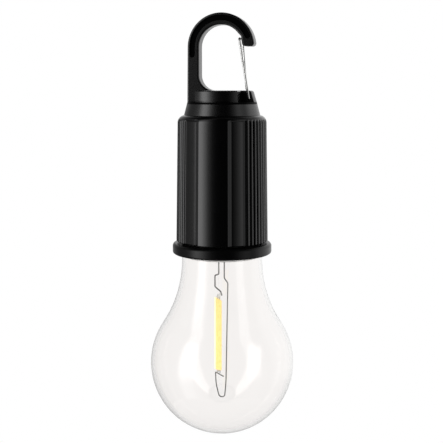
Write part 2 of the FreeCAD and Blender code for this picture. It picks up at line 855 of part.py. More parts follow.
def lamp_contacts():
    # A centre leaf under the drive rod and a leaf under the disc's return ring.
    height = disc_bottom - lamp_board_top - contact_touch
    half = contact_length / 2
    inner = half - leaf_crest
    outline = [(-half, 0), (half, 0), (half, height), (inner, height),
               (inner, contact_thickness), (-half, contact_thickness)]
    pieces = []
    for reach, y in ((0.0, -contact_width / 2), (cell_circle + half, contact_width)):
        face = polygon_face([V(along + reach - half, y, lamp_board_top + rise) for along, rise in outline])
        pieces.append(face.extrude(V(0, contact_width, 0)))
    return Part.makeCompound(pieces)


def left_lead():
    jog_z = base_top - jog_drop
    low = jog_z - jog_length
    end_x = strip_x + lead_side
    points = [
        V(left_lead_x, 0, lamp_board_top),
        V(left_lead_x, 0, jog_z),
        V(jog_x, 0, jog_z - lead_bend),
        V(jog_x, 0, low),
        V(end_x - lead_approach, 0, low - left_rise),
        V(end_x, 0, strip_top + lead_end_rise),
    ]
    return wire_along(rounded_path(points, [lead_bend] * 4), lead_radius)


def right_lead():
    shift_z = base_top - right_shift_drop
    shifted_x = right_lead_x + right_shift
    low = strip_bottom - loop_drop
    points = [
        V(right_lead_x, 0, lamp_board_top),
        V(right_lead_x, 0, shift_z),
        V(shifted_x, 0, shift_z - right_shift_height),
        V(shifted_x - loop_half_width, 0, strip_bottom - loop_top_drop),
        V(loop_centre_x + loop_half_width, 0, low),
        V(loop_centre_x - loop_half_width, 0, low),
        V(loop_left_x, 0, strip_bottom - loop_top_drop),
        V(loop_left_x, 0, strip_bottom - hook_top_drop),
        V(strip_x + hook_end_reach, 0, strip_bottom - hook_end_drop),
    ]
    bends = [lead_bend, lead_bend, lead_bend, loop_bend, loop_bend, lead_bend, lead_bend]
    return wire_along(rounded_path(points, bends), lead_radius)


def strip_bar(width, depth, z_low, z_high):
    return block(-width / 2, width / 2, -depth / 2, depth / 2, z_low, z_high)


def placed_strip(bar):
    bar.rotate(V(0, 0, 0), V(0, 0, 1), strip_turn)
    bar.translate(V(strip_x, 0, 0))
    return bar


def filament_core():
    low = strip_bottom - core_overhang
    high = strip_top + core_overhang
    return placed_strip(strip_bar(core_width, core_depth, low, high))


def filament_phosphor():
    bar = strip_bar(strip_width, strip_depth, strip_bottom, strip_top)

    def long_edge(edge):
        return edge.BoundBox.ZLength > 0.5 * strip_length

    bar = bar.makeFillet(strip_edge_round, edges_where(bar, long_edge))
    slot = strip_bar(core_width + 2 * core_fit, core_depth + 2 * core_fit, strip_bottom, strip_top)
    return placed_strip(bar.cut(slot))


def filament_tabs():
    pieces = []
    y_high = -core_depth / 2 - core_fit
    for z_low in (strip_top + lead_fit, strip_bottom - lead_fit - tab_length):
        tab = block(-tab_inner, tab_reach, y_high - tab_thickness, y_high, z_low, z_low + tab_length)
        pieces.append(placed_strip(tab))
    return Part.makeCompound(pieces)


nodes = {
    "hook_cap": hook_cap(),
    "gate_wire": gate_wire(),
    "power_button": power_button(),
    "switch_plunger": switch_plunger(),
    "switch_body": switch_body(),
    "switch_board": switch_board(),
    "series_resistors": series_resistors(),
    "cap_seal": cap_seal(),
    "cap_screws": cap_screws(),
    "battery_housing": battery_housing(),
    "cell_1": cell(cell_angles[0], 1),
    "cell_2": cell(cell_angles[1], -1),
    "cell_3": cell(cell_angles[2], 1),
    "cell_cradle": cell_cradle(),
    "drive_rod": drive_rod(),
    "upper_contact": upper_contact(),
    "upper_link": upper_link(),
    "lower_contact": lower_contact(),
    "lower_link": lower_link(),
    "contact_disc": contact_disc(),
    "collar_seal": collar_seal(),
    "bulb_collar": bulb_collar(),
    "bulb_globe": bulb_globe(),
    "globe_gasket": globe_gasket(),
    "filament_base": filament_base(),
    "lamp_board": lamp_board(),
    "lamp_contacts": lamp_contacts(),
    "left_lead": left_lead(),
    "right_lead": right_lead(),
    "filament_core": filament_core(),
    "filament_phosphor": filament_phosphor(),
    "filament_tabs": filament_tabs(),
}

for name, shape in nodes.items():
    shape.exportStep("parts/%s.step" % name)
    box = shape.BoundBox
    print("%-18s solids %d valid %s volume %9.2f  x %.2f..%.2f y %.2f..%.2f z %.2f..%.2f" % (
        name, len(shape.Solids), shape.isValid(), shape.Volume, box.XMin, box.XMax, box.YMin, box.YMax,
        box.ZMin, box.ZMax))
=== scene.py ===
import json
import math

import bmesh
import bpy
from mathutils import Matrix, Vector


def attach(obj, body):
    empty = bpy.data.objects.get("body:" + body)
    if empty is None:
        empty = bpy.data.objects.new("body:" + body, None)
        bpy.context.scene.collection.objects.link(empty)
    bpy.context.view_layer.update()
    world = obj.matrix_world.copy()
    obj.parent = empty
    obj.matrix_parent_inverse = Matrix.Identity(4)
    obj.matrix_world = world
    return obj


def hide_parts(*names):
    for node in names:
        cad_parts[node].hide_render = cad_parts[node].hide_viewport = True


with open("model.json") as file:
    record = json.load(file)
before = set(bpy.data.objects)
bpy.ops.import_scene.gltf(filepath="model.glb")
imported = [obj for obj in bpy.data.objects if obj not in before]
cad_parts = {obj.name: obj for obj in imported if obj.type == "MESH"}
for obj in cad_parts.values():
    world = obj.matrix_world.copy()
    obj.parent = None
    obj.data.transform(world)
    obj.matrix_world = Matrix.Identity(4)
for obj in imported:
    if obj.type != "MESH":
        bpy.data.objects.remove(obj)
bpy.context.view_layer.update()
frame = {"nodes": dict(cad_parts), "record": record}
nodes = frame["nodes"]
mm = 0.001  # sizes are written in millimetres and built in metres
mergeGap = 0.0005 * mm  # vertices closer than this are one
print("stage: frame loaded,", len(nodes), "nodes")

# the photograph's view, in its own square of pixels
viewpoint = {
    "frameSize": 443,
    "focalPixels": 937.0,
    "azimuth": 11.9,     # degrees round from the front, towards the gate
    "swing": 0.037,      # degrees that the lens looks past the lamp's axis
    "distance": 340.0,   # level distance to the axis
    "height": -13.8,
    "pitch": 8.2,        # degrees down
    "sensor": 36.0,
    "nearClip": 10.0,
    "farClip": 20000.0,
}


def placeCamera():
    data = bpy.data.cameras.new("photoView")
    data.sensor_fit = "HORIZONTAL"
    data.sensor_width = viewpoint["sensor"]
    data.lens = viewpoint["sensor"] * viewpoint["focalPixels"] / viewpoint["frameSize"]
    data.clip_start = viewpoint["nearClip"] * mm
    data.clip_end = viewpoint["farClip"] * mm
    camera = bpy.data.objects.new("photoView", data)
    bpy.context.scene.collection.objects.link(camera)
    turn = math.radians(viewpoint["azimuth"])
    away = viewpoint["distance"] * mm
    camera.location = (away * math.sin(turn), -away * math.cos(turn), viewpoint["height"] * mm)
    aim = turn + math.radians(viewpoint["swing"])
    camera.rotation_euler = (math.radians(90 - viewpoint["pitch"]), 0, aim)
    bpy.context.scene.camera = camera


placeCamera()
print("stage: camera placed")

# a tall soft light front left, a weaker one right, white behind, dark behind the camera
studio = {
    "bearings": [(-180, 1.0), (-166, 1.0), (-145, 0.4), (-100, 0.2), (-68, 0.4), (-53, 3.6),
                 (-42, 3.4), (-32, 1.7), (-23, 0.42), (-12, 0.05), (0, 0.005), (36, 0.005),
                 (48, 0.18), (56, 0.45), (66, 0.9), (90, 0.45), (112, 1.2), (180, 1.0)],
    "heights": [(-1.0, 0.4), (-0.5, 0.5), (-0.24, 1.0), (0.35, 1.0), (0.7, 0.34), (0.9, 0.08),
                (1.0, 0.06)],
    "peak": 4.0,
    # what the globe's wall passes on: the white backdrop and the two lights, both taller
    "throughLevel": 0.93,
    "throughLights": [(-180, 0.0), (-66, 0.0), (-57, 2.6), (-40, 2.6), (-30, 0.0), (50, 0.0), (58, 2.4),
                      (74, 2.4), (82, 0.0), (180, 0.0)],
    "throughHeights": [(-1.0, 0.0), (-0.36, 0.0), (-0.14, 1.0), (0.9, 1.0), (1.0, 0.6)],
    "floorLevel": -450.0,
    "floorRadius": 360.0,
    "floorSides": 96,
    "floorFade": (110.0, 340.0),
    "floorColour": (0.9, 0.9, 0.9),
    "floorGlow": 0.7,
}


def addNode(tree, kind, **settings):
    made = tree.nodes.new(kind)
    for name, value in settings.items():
        setattr(made, name, value)
    return made


def addRamp(tree, source, low, high, stops, peak=1.0):
    spread = addNode(tree, "ShaderNodeMapRange")
    tree.links.new(source, spread.inputs["Value"])
    spread.inputs["From Min"].default_value = low
    spread.inputs["From Max"].default_value = high
    ramp = addNode(tree, "ShaderNodeValToRGB")
    ramp.color_ramp.interpolation = "EASE"
    tree.links.new(spread.outputs["Result"], ramp.inputs["Fac"])
    marks = ramp.color_ramp.elements
    while len(marks) < len(stops):
        marks.new(0.5)
    for mark, (place, level) in zip(marks, stops):
        mark.position = (place - low) / (high - low)
        shade = level if isinstance(level, tuple) else (level / peak,) * 3
        mark.color = (*shade, 1)
    return ramp.outputs["Color"]


def buildWorld():
    world = bpy.data.worlds.new("studioDome")
    bpy.context.scene.world = world
    world.use_nodes = True
    tree = world.node_tree
    tree.nodes.clear()
    link = tree.links.new
    where = addNode(tree, "ShaderNodeTexCoord")
    parts = addNode(tree, "ShaderNodeSeparateXYZ")
    link(where.outputs["Generated"], parts.inputs["Vector"])
    front = addNode(tree, "ShaderNodeMath", operation="MULTIPLY")
    link(parts.outputs["Y"], front.inputs[0])
    front.inputs[1].default_value = -1
    bearing = addNode(tree, "ShaderNodeMath", operation="ARCTAN2")
    link(parts.outputs["X"], bearing.inputs[0])
    link(front.outputs[0], bearing.inputs[1])
    degrees = addNode(tree, "ShaderNodeMath", operation="DEGREES")
    link(bearing.outputs[0], degrees.inputs[0])
    around = addRamp(tree, degrees.outputs[0], -180, 180, studio["bearings"], studio["peak"])
    upright = addRamp(tree, parts.outputs["Z"], -1, 1, studio["heights"])
    both = addNode(tree, "ShaderNodeMath", operation="MULTIPLY")
    link(around, both.inputs[0])
    link(upright, both.inputs[1])
    level = addNode(tree, "ShaderNodeMath", operation="MULTIPLY")
    link(both.outputs[0], level.inputs[0])
    level.inputs[1].default_value = studio["peak"]
    ray = addNode(tree, "ShaderNodeLightPath")
    lampsAround = addRamp(tree, degrees.outputs[0], -180, 180, studio["throughLights"], studio["peak"])
    lampsUpright = addRamp(tree, parts.outputs["Z"], -1, 1, studio["throughHeights"])
    lamps = addNode(tree, "ShaderNodeMath", operation="MULTIPLY")
    link(lampsAround, lamps.inputs[0])
    link(lampsUpright, lamps.inputs[1])
    backdrop = addNode(tree, "ShaderNodeMath", operation="MULTIPLY_ADD")
    link(lamps.outputs[0], backdrop.inputs[0])
    backdrop.inputs[1].default_value = studio["peak"]
    backdrop.inputs[2].default_value = studio["throughLevel"]
    through = addNode(tree, "ShaderNodeMix")
    link(ray.outputs["Is Transmission Ray"], through.inputs["Factor"])
    link(level.outputs[0], through.inputs[2])
    link(backdrop.outputs[0], through.inputs[3])
    pick = addNode(tree, "ShaderNodeMix")
    link(ray.outputs["Is Camera Ray"], pick.inputs["Factor"])
    link(through.outputs[0], pick.inputs[2])
    pick.inputs[3].default_value = 1
    shade = addNode(tree, "ShaderNodeBackground")
    shade.inputs["Color"].default_value = (1, 1, 1, 1)
    link(pick.outputs[0], shade.inputs["Strength"])
    out = addNode(tree, "ShaderNodeOutputWorld")
    link(shade.outputs[0], out.inputs["Surface"])


def finishMesh(bm, name, *materials, crease=180):
    bmesh.ops.remove_doubles(bm, verts=bm.verts, dist=mergeGap)
    bmesh.ops.recalc_face_normals(bm, faces=bm.faces)
    for face in bm.faces:
        face.smooth = True
    mesh = bpy.data.meshes.new(name)
    bm.to_mesh(mesh)
    bm.free()
    mesh.set_sharp_from_angle(angle=math.radians(crease))
    for material in materials:
        mesh.materials.append(material)
    piece = bpy.data.objects.new(name, mesh)
    bpy.context.scene.collection.objects.link(piece)
    return piece


def layFloor():
    material = bpy.data.materials.new("paleFloor")
    material.use_nodes = True
    tree = material.node_tree
    tree.nodes.clear()
    link = tree.links.new
    where = addNode(tree, "ShaderNodeTexCoord")
    flat = addNode(tree, "ShaderNodeVectorMath", operation="MULTIPLY")
    link(where.outputs["Object"], flat.inputs[0])
    flat.inputs[1].default_value = (1, 1, 0)
    reach = addNode(tree, "ShaderNodeVectorMath", operation="LENGTH")
    link(flat.outputs["Vector"], reach.inputs[0])
    near, far = studio["floorFade"]
    fade = addRamp(tree, reach.outputs["Value"], near * mm, far * mm,
                   [(near * mm, studio["floorGlow"]), (far * mm, 1.0)])
    ray = addNode(tree, "ShaderNodeLightPath")
    looked = addNode(tree, "ShaderNodeMath", operation="MAXIMUM")
    link(ray.outputs["Is Camera Ray"], looked.inputs[0])
    link(ray.outputs["Is Transmission Ray"], looked.inputs[1])
    seen = addNode(tree, "ShaderNodeMath", operation="MULTIPLY")
    link(fade, seen.inputs[0])
    link(looked.outputs[0], seen.inputs[1])
    matt = addNode(tree, "ShaderNodeBsdfDiffuse")
    matt.inputs["Color"].default_value = (*studio["floorColour"], 1)
    glow = addNode(tree, "ShaderNodeEmission")
    glow.inputs["Strength"].default_value = 1
    mix = addNode(tree, "ShaderNodeMixShader")
    link(seen.outputs[0], mix.inputs["Fac"])
    link(matt.outputs[0], mix.inputs[1])
    link(glow.outputs[0], mix.inputs[2])
    out = addNode(tree, "ShaderNodeOutputMaterial")
    link(mix.outputs[0], out.inputs["Surface"])
    bm = bmesh.new()
    level = Matrix.Translation((0, 0, studio["floorLevel"] * mm))
    bmesh.ops.create_circle(bm, cap_ends=True, segments=studio["floorSides"],
                            radius=studio["floorRadius"] * mm, matrix=level)
    floor = finishMesh(bm, "floor", material)


buildWorld()
layFloor()
bpy.context.scene.view_settings.view_transform = "Standard"
print("stage: studio lit")


# finishes: each one has its own grain, in object coordinates
def startMaterial(name):
    material = bpy.data.materials.new(name)
    material.use_nodes = True
    tree = material.node_tree
    shader = tree.nodes["Principled BSDF"]
    where = addNode(tree, "ShaderNodeTexCoord")
    return material, tree, shader, where.outputs["Object"]


def addNoise(tree, where, size, detail=4.0, stretch=(1, 1, 1)):
    spread = addNode(tree, "ShaderNodeMapping")
    tree.links.new(where, spread.inputs["Vector"])
    spread.inputs["Scale"].default_value = stretch
    noise = addNode(tree, "ShaderNodeTexNoise")
    tree.links.new(spread.outputs["Vector"], noise.inputs["Vector"])
    noise.inputs["Scale"].default_value = 1 / (size * mm)
    noise.inputs["Detail"].default_value = detail
    return noise.outputs["Fac"]


def addBump(tree, shader, height, depth):
    bump = addNode(tree, "ShaderNodeBump")
    bump.inputs["Strength"].default_value = 1
    bump.inputs["Distance"].default_value = depth * mm
    tree.links.new(height, bump.inputs["Height"])
    tree.links.new(bump.outputs["Normal"], shader.inputs["Normal"])


# noise octaves of the broad patches and the fine grain, and the span of noise that they use
grainDetail = {"broad": 3.0, "fine": 5.0, "range": (0.3, 0.7)}


def grainedFinish(name, look):
    material, tree, shader, where = startMaterial(name)
    stretch = look.get("stretch", (1, 1, 1))
    broad = addNoise(tree, where, look["patch"], grainDetail["broad"], stretch)
    fine = addNoise(tree, where, look["grain"], grainDetail["fine"], stretch)
    low, high = grainDetail["range"]
    smooth, dull = look["rough"]
    colour = addRamp(tree, broad, low, high, [(low, look["dark"]), (high, look["light"])])
    rough = addRamp(tree, fine, low, high, [(low, smooth), (high, dull)])
    tree.links.new(colour, shader.inputs["Base Color"])
    tree.links.new(rough, shader.inputs["Roughness"])
    addBump(tree, shader, fine, look["depth"])
    shader.inputs["Metallic"].default_value = look.get("metal", 0.0)
    shader.inputs["Specular IOR Level"].default_value = look.get("gloss", 0.5)
    return material


finishes = {
    # satin black moulding of the housing
    "black_plastic": {"dark": (0.0012, 0.0012, 0.0013), "light": (0.002, 0.002, 0.0022),
                      "rough": (0.16, 0.22), "patch": 9.0, "grain": 0.35, "depth": 0.0025},
    "button_plastic": {"dark": (0.008, 0.008, 0.008), "light": (0.014, 0.014, 0.014), "rough": (0.45, 0.6),
                       "patch": 3.0, "grain": 0.22, "depth": 0.02},
    # drawn wire, streaked along its length
    "steel_wire": {"dark": (0.6, 0.6, 0.59), "light": (0.8, 0.8, 0.79), "rough": (0.16, 0.32), "metal": 1.0,
                   "patch": 1.2, "grain": 0.15, "depth": 0.0008, "stretch": (1, 1, 0.12)},
    "lead_wire": {"dark": (0.12, 0.12, 0.117), "light": (0.22, 0.22, 0.214), "rough": (0.28, 0.45),
                  "metal": 1.0, "patch": 1.5, "grain": 0.12, "depth": 0.0008, "stretch": (1, 1, 0.15)},
    "ceramic_core": {"dark": (0.72, 0.7, 0.64), "light": (0.82, 0.8, 0.74), "rough": (0.4, 0.55),
                     "patch": 1.0, "grain": 0.1, "depth": 0.01},
    "circuit_board": {"dark": (0.012, 0.075, 0.03), "light": (0.03, 0.14, 0.055), "rough": (0.3, 0.45),
                      "patch": 1.4, "grain": 0.4, "depth": 0.02},
    "seal_rubber": {"dark": (0.012, 0.012, 0.012), "light": (0.024, 0.024, 0.024), "rough": (0.6, 0.75),
                    "patch": 2.0, "grain": 0.18, "depth": 0.015},
    "contact_brass": {"dark": (0.6, 0.56, 0.44), "light": (0.78, 0.74, 0.62), "rough": (0.22, 0.36),
                      "metal": 1.0, "patch": 1.6, "grain": 0.2, "depth": 0.006},
    "cell_sleeve": {"dark": (0.2, 0.205, 0.215), "light": (0.36, 0.365, 0.38), "rough": (0.25, 0.4),
                    "metal": 0.8, "patch": 6.0, "grain": 0.3, "depth": 0.004, "stretch": (1, 1, 0.2)},
    "inner_plastic": {"dark": (0.016, 0.016, 0.017), "light": (0.03, 0.03, 0.032), "rough": (0.45, 0.6),
                      "patch": 3.0, "grain": 0.3, "depth": 0.015},
    "white_plastic": {"dark": (0.74, 0.74, 0.73), "light": (0.82, 0.82, 0.81), "rough": (0.4, 0.55),
                      "patch": 3.0, "grain": 0.25, "depth": 0.01},
}
# the cap and the collar come from other moulds, with a duller grain
capFinish = {"dark": (0.0015, 0.0015, 0.0016), "light": (0.0028, 0.0028, 0.003), "rough": (0.22, 0.3),
             "gloss": 0.6, "patch": 6.0, "grain": 0.3, "depth": 0.0015}
collarFinish = {"dark": (0.0012, 0.0012, 0.0013), "light": (0.0022, 0.0022, 0.0024), "rough": (0.24, 0.32),
                "gloss": 0.22, "patch": 7.0, "grain": 0.3, "depth": 0.002}


# yellow phosphor in clear gel: the gel shows paler on the strip's narrow sides; the emission is painted
# light, as the lamp is off
coatFronts = {"deep": (0.96, 0.7, 0.22), "pale": (1.0, 0.76, 0.27), "speck": 0.16, "glow": 0.34}
coatSides = {"deep": (0.92, 0.83, 0.5), "pale": (0.96, 0.88, 0.58), "speck": 0.2, "glow": 0.4}
coatGrain = {"cloud": 1.1, "stops": (0.25, 0.55, 0.75), "rough": 0.42, "depth": 0.01}


def phosphorFinish(name, look):
    material, tree, shader, where = startMaterial(name)
    specks = addNode(tree, "ShaderNodeTexVoronoi")
    tree.links.new(where, specks.inputs["Vector"])
    specks.inputs["Scale"].default_value = 1 / (look["speck"] * mm)
    cloud = addNoise(tree, where, coatGrain["cloud"])
    low, middle, high = coatGrain["stops"]
    colour = addRamp(tree, cloud, low, high,
                     [(low, look["deep"]), (middle, look["pale"]), (high, look["pale"])])
    tree.links.new(colour, shader.inputs["Base Color"])
    tree.links.new(colour, shader.inputs["Emission Color"])
    # painted light: the unlit strip is given an emission that brightens its yellow
    shader.inputs["Emission Strength"].default_value = look["glow"]
    shader.inputs["Roughness"].default_value = coatGrain["rough"]
    addBump(tree, shader, specks.outputs["Distance"], coatGrain["depth"])
    return material


# clear moulding with a slow ripple in its wall
clearLook = {"tint": (1.0, 0.987, 0.978), "ripple": 14.0, "octaves": 1.0, "depth": 0.006,
             "rough": 0.012, "ior": 1.37}


def clearFinish():
    material, tree, shader, where = startMaterial("clearMoulding")
    shader.inputs["Base Color"].default_value = (*clearLook["tint"], 1)
    shader.inputs["Roughness"].default_value = clearLook["rough"]
    shader.inputs["IOR"].default_value = clearLook["ior"]
    shader.inputs["Transmission Weight"].default_value = 1
    ripple = addNoise(tree, where, clearLook["ripple"], clearLook["octaves"])
    addBump(tree, shader, ripple, clearLook["depth"])
    return material


# painted shade: the floor of the hook's channel, and a strip along the skirt's top edge under the seam, get
# a low specular level, which darkens them like the shade there
shadeMask = {
    "innerRadius": 9.25, "outerRadius": 11.45, "channelEnd": -3.75, "halfDepth": 2.5,
    "shadowStripMiddle": -19.66, "shadowStripHalf": 0.38, "dull": 0.02,
}


def addMaths(tree, operation, *values):
    sums = addNode(tree, "ShaderNodeMath", operation=operation)
    for place, value in enumerate(values):
        if isinstance(value, (int, float)):
            sums.inputs[place].default_value = value
        else:
            tree.links.new(value, sums.inputs[place])
    return sums.outputs[0]


def paintShadeInHollows(material, gloss):
    tree = material.node_tree
    where = next(item for item in tree.nodes if item.bl_idname == "ShaderNodeTexCoord")
    parts = addNode(tree, "ShaderNodeSeparateXYZ")
    tree.links.new(where.outputs["Object"], parts.inputs[0])
    x, y, z = parts.outputs
    # distance from the eye's centre, and below it from the upright plane through the centre
    rise = addMaths(tree, "MAXIMUM", z, 0.0)
    across = addMaths(tree, "MULTIPLY", x, x)
    upward = addMaths(tree, "MULTIPLY", rise, rise)
    reach = addMaths(tree, "SQRT", addMaths(tree, "ADD", across, upward))
    beyond = addMaths(tree, "GREATER_THAN", reach, shadeMask["innerRadius"] * mm)
    within = addMaths(tree, "LESS_THAN", reach, shadeMask["outerRadius"] * mm)
    fromMiddle = addMaths(tree, "ABSOLUTE", y)
    sunk = addMaths(tree, "LESS_THAN", fromMiddle, shadeMask["halfDepth"] * mm)
    above = addMaths(tree, "GREATER_THAN", z, shadeMask["channelEnd"] * mm)
    ring = addMaths(tree, "MULTIPLY", beyond, within)
    floor = addMaths(tree, "MULTIPLY", sunk, above)
    channel = addMaths(tree, "MULTIPLY", ring, floor)
    edge = addMaths(tree, "COMPARE", z, shadeMask["shadowStripMiddle"] * mm, shadeMask["shadowStripHalf"] * mm)
    shaded = addMaths(tree, "MAXIMUM", channel, edge)
    # painted shade: inside either mask the specular level drops to the low value, so these places render
    # dark
    level = addMaths(tree, "MULTIPLY_ADD", shaded, shadeMask["dull"] - gloss, gloss)
    tree.links.new(level, tree.nodes["Principled BSDF"].inputs["Specular IOR Level"])


madeFinishes = {slot: grainedFinish(slot, look) for slot, look in finishes.items()}
madeFinishes["phosphor"] = phosphorFinish("phosphor", coatFronts)
sideMaterial = phosphorFinish("phosphorSide", coatSides)
madeFinishes["clear_plastic"] = clearFinish()
capMaterial = grainedFinish("capPlastic", capFinish)
# the cap gets painted shade in its hook channel and under the seam
paintShadeInHollows(capMaterial, capFinish["gloss"])
collarMaterial = grainedFinish("collarPlastic", collarFinish)
for item in frame["record"]["subparts"]:
    for held in nodes[item["node"]].material_slots:
        held.material = madeFinishes[item["material_slot"]]
nodes["hook_cap"].material_slots[0].material = capMaterial
nodes["bulb_collar"].material_slots[0].material = collarMaterial
nodes["filament_tabs"].material_slots[0].material = madeFinishes["steel_wire"]
print("stage: finishes made")


def ridePiece(piece, body, slot, *replaced):
    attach(piece, body)
    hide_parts(*replaced)


# clear globe: neck, flare and round end, one closed wall
globe = {
    "radius": 26.55, "centre": -115.55, "neck": 14.78, "neckTop": -72.25, "flareTop": -76.65,
    "wall": 1.3, "ballSteps": 44, "flareSteps": 28, "turns": 176, "crease": 50,
}


def globeOutline(inset):
    drop = globe["flareTop"] - globe["centre"]
    # the flare's arc leaves the neck upright and meets the ball smoothly
    spare = globe["neck"] ** 2 + drop ** 2 - globe["radius"] ** 2
    flare = spare / (2 * (globe["radius"] - globe["neck"]))
    lean = math.atan2(drop, globe["neck"] + flare)
    points = [(globe["neck"] - inset, globe["neckTop"])]
    for step in range(globe["flareSteps"] + 1):
        angle = lean * step / globe["flareSteps"]
        reach = flare + inset
        points.append((globe["neck"] + flare - reach * math.cos(angle),
                       globe["flareTop"] - reach * math.sin(angle)))
    for step in range(1, globe["ballSteps"] + 1):
        angle = lean - (lean + math.pi / 2) * step / globe["ballSteps"]
        reach = globe["radius"] - inset
        points.append((reach * math.cos(angle), globe["centre"] + reach * math.sin(angle)))
    return points


def drawLine(bm, points, closed=False, centre=(0, 0)):
    corners = [bm.verts.new(((centre[0] + radius) * mm, centre[1] * mm, z * mm)) for radius, z in points]
    pairs = list(zip(corners, corners[1:]))
    if closed:
        pairs.append((corners[-1], corners[0]))
    return corners + [bm.edges.new(pair) for pair in pairs]


def spinOutline(bm, points, turns, closed=False, centre=(0, 0)):
    line = drawLine(bm, points, closed, centre)
    bmesh.ops.spin(bm, geom=line, cent=(centre[0] * mm, centre[1] * mm, 0), axis=(0, 0, 1),
                   dvec=(0, 0, 0), angle=math.tau, steps=turns, use_merge=True, use_duplicate=False)


def buildGlobe():
    bm = bmesh.new()
    outline = list(reversed(globeOutline(globe["wall"]))) + globeOutline(0.0)
    spinOutline(bm, outline, globe["turns"])
    piece = finishMesh(bm, "clearGlobe", madeFinishes["clear_plastic"], crease=globe["crease"])
    ridePiece(piece, "bulb_head", "clear_plastic", "bulb_globe")


buildGlobe()
print("stage: globe blown")

# battery housing: smooth panels front and back, a sunk strip beside each, ribs on the flanks
housing = {
    "top": -24.0, "bottom": -69.7, "topRadius": 16.03, "bottomRadius": 16.78, "neckRadius": 13.75,
    "shoulder": 2.7, "panelEnd": 19.0, "sinkStart": 23.5, "sinkEnd": 39.5, "ribStart": 43.0,
    "sink": 0.7, "ribs": 15, "ribDepth": 0.58, "soften": 0.3, "softSteps": 3,
    "fadeStart": 1.1, "fadeEnd": 2.2, "footRound": 0.4, "rimRound": 0.15, "segments": 720,
    "footSteps": 6, "wallSteps": 10, "crownMargin": 0.4, "crownSteps": 28, "crease": 40,
    "sealInner": 12.07, "sealOuter": 13.03, "sealDepth": 0.96, "ringRadius": 10.6, "ringDepth": 1.3,
    "boreRadius": 13.18, "mouthRadius": 14.88, "threadTop": -60.7,
    "earCircle": 9.475, "earRadius": 2.6, "earHole": 1.0, "earAngles": (30, 150, 270), "earTurns": 48,
    "threadLow": -68.1, "threadPitch": 3.0, "threadTurns": 1.5, "threadHeight": 0.75,
    "threadBase": 1.3, "threadCrest": 0.6, "threadRoot": 0.2, "threadSteps": 120,
}


def sinkAt(degrees):
    # depth of the sunk strips and ribs at one bearing from the front
    away = abs((degrees + 180) % 360 - 180)
    away = min(away, 180 - away)
    if away <= housing["panelEnd"]:
        return 0.0
    if away < housing["sinkStart"]:
        return housing["sink"] * (away - housing["panelEnd"]) / (housing["sinkStart"] - housing["panelEnd"])
    if away < housing["sinkEnd"]:
        return housing["sink"]
    if away < housing["ribStart"]:
        part = (away - housing["sinkEnd"]) / (housing["ribStart"] - housing["sinkEnd"])
        return housing["sink"] + (housing["ribDepth"] - housing["sink"]) * part
    span = (180 - 2 * housing["ribStart"]) / housing["ribs"]
    part = (away - housing["ribStart"]) / span % 1
    return housing["ribDepth"] * (2 * part - 1) ** 2


def softSink(degrees):
    # the mean over a short span of bearings, which rounds the edges
    steps = housing["softSteps"]
    spread = [housing["soften"] * step / steps for step in range(-steps, steps + 1)]
    return sum(sinkAt(degrees + shift) for shift in spread) / len(spread)


def skinRadius(z):
    fall = (housing["top"] - z) / (housing["top"] - housing["bottom"])
    radius = housing["topRadius"] + fall * (housing["bottomRadius"] - housing["topRadius"])
    rise = z - (housing["top"] - housing["shoulder"])
    if rise > 0:
        gain = radius - housing["neckRadius"]
        bend = (gain ** 2 + housing["shoulder"] ** 2) / (2 * gain)
        radius -= bend - math.sqrt(bend ** 2 - rise ** 2)
    lift = housing["footRound"] - (z - housing["bottom"])
    if lift > 0:
        radius -= housing["footRound"] - math.sqrt(housing["footRound"] ** 2 - lift ** 2)
    return radius


def housingLevels():
    # outer levels from the foot to the top: close together where the skin bends
    footStep = math.pi / 2 / housing["footSteps"]
    foot = [housing["bottom"] + housing["footRound"] * (1 - math.cos(footStep * step))
            for step in range(housing["footSteps"] + 1)]
    crown = housing["top"] - housing["fadeEnd"] - housing["crownMargin"]
    wallStep = (crown - foot[-1]) / housing["wallSteps"]
    wall = [foot[-1] + wallStep * step for step in range(1, housing["wallSteps"] + 1)]
    crownStep = (housing["top"] - crown) / housing["crownSteps"]
    bend = [crown + crownStep * step for step in range(1, housing["crownSteps"])]
    return foot + wall + bend + [housing["top"]]


def fadeAt(z):
    # the sunk strips and ribs die out on the shoulder
    part = (housing["top"] - housing["fadeStart"] - z) / (housing["fadeEnd"] - housing["fadeStart"])
    part = min(max(part, 0), 1)
    return part * part * (3 - 2 * part)


def followRing(ring, fresh):
    # the new vertex above each vertex of the ring below
    return [next(edge.other_vert(vert) for edge in vert.link_edges if edge.other_vert(vert) in fresh)
            for vert in ring]


def addThread(bm):
    half = housing["threadBase"] / 2
    tip = housing["threadCrest"] / 2
    wall = housing["mouthRadius"]
    crest = wall - housing["threadHeight"]
    root = wall + housing["threadRoot"]
    low = housing["threadLow"]
    line = drawLine(bm, [(root, low - half), (crest, low - tip), (crest, low + tip),
                         (root, low + half)], closed=True)
    steps = round(housing["threadSteps"] * housing["threadTurns"])
    climb = housing["threadPitch"] * housing["threadTurns"] / steps
    made = bmesh.ops.spin(bm, geom=line, cent=(0, 0, 0), axis=(0, 0, 1), dvec=(0, 0, climb * mm),
                          angle=math.tau * housing["threadTurns"], steps=steps, use_merge=False,
                          use_duplicate=False)["geom_last"]
    for end in (line, made):
        bmesh.ops.edgeloop_fill(bm, edges=[item for item in end if isinstance(item, bmesh.types.BMEdge)])


def addEar(bm, angle):
    # one ear with a screw hole, inside the top ring
    centre = (housing["earCircle"] * math.cos(angle), housing["earCircle"] * math.sin(angle))
    low = housing["top"] - housing["ringDepth"]
    high = housing["top"]
    spinOutline(bm, [(housing["earHole"], low), (housing["earRadius"], low), (housing["earRadius"], high),
                     (housing["earHole"], high)], housing["earTurns"], closed=True, centre=centre)


